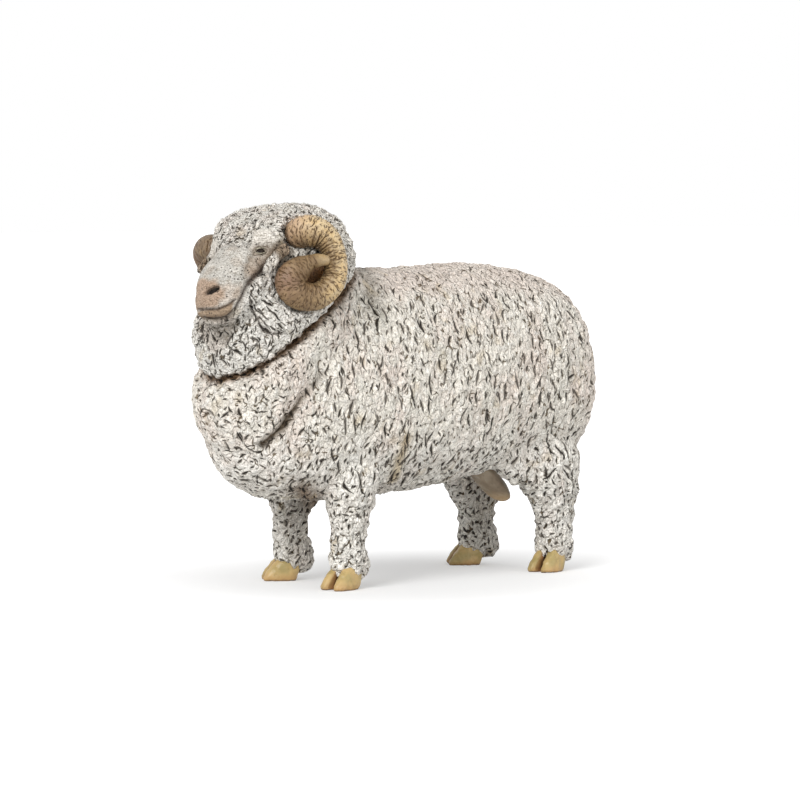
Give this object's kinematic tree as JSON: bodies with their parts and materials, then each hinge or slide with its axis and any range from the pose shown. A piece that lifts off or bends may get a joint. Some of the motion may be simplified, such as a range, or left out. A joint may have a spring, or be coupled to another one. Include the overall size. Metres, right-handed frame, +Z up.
{
  "type": "toy farm animal figure",
  "caption": "Standing woolly ram with curled horns, cloven hooves and its head turned a little to one side, in painted solid plastic.",
  "frame": {"origin": "on the ground, under the middle of the figure's length and width", "axes": "the ram looks along -X, its left side is -Y, and +Z is up"},
  "size_m": [0.1206, 0.0482, 0.0938],
  "materials": {
    "fleece": "off-white paint with a dark wash in the carved wool",
    "horn": "tan paint with a brown wash",
    "hoof": "ochre paint",
    "skin": "grey-brown paint"
  },
  "bodies": {
    "root": {"torso": "fleece", "head": "fleece", "left_ear": "fleece", "right_ear": "fleece", "tail": "fleece", "front_left_leg": "fleece", "front_right_leg": "fleece", "hind_left_leg": "fleece", "hind_right_leg": "fleece", "left_horn": "horn", "right_horn": "horn", "front_left_hoof": "hoof", "front_right_hoof": "hoof", "hind_left_hoof": "hoof", "hind_right_hoof": "hoof", "scrotum": "skin"}
  },
  "joints": []
}
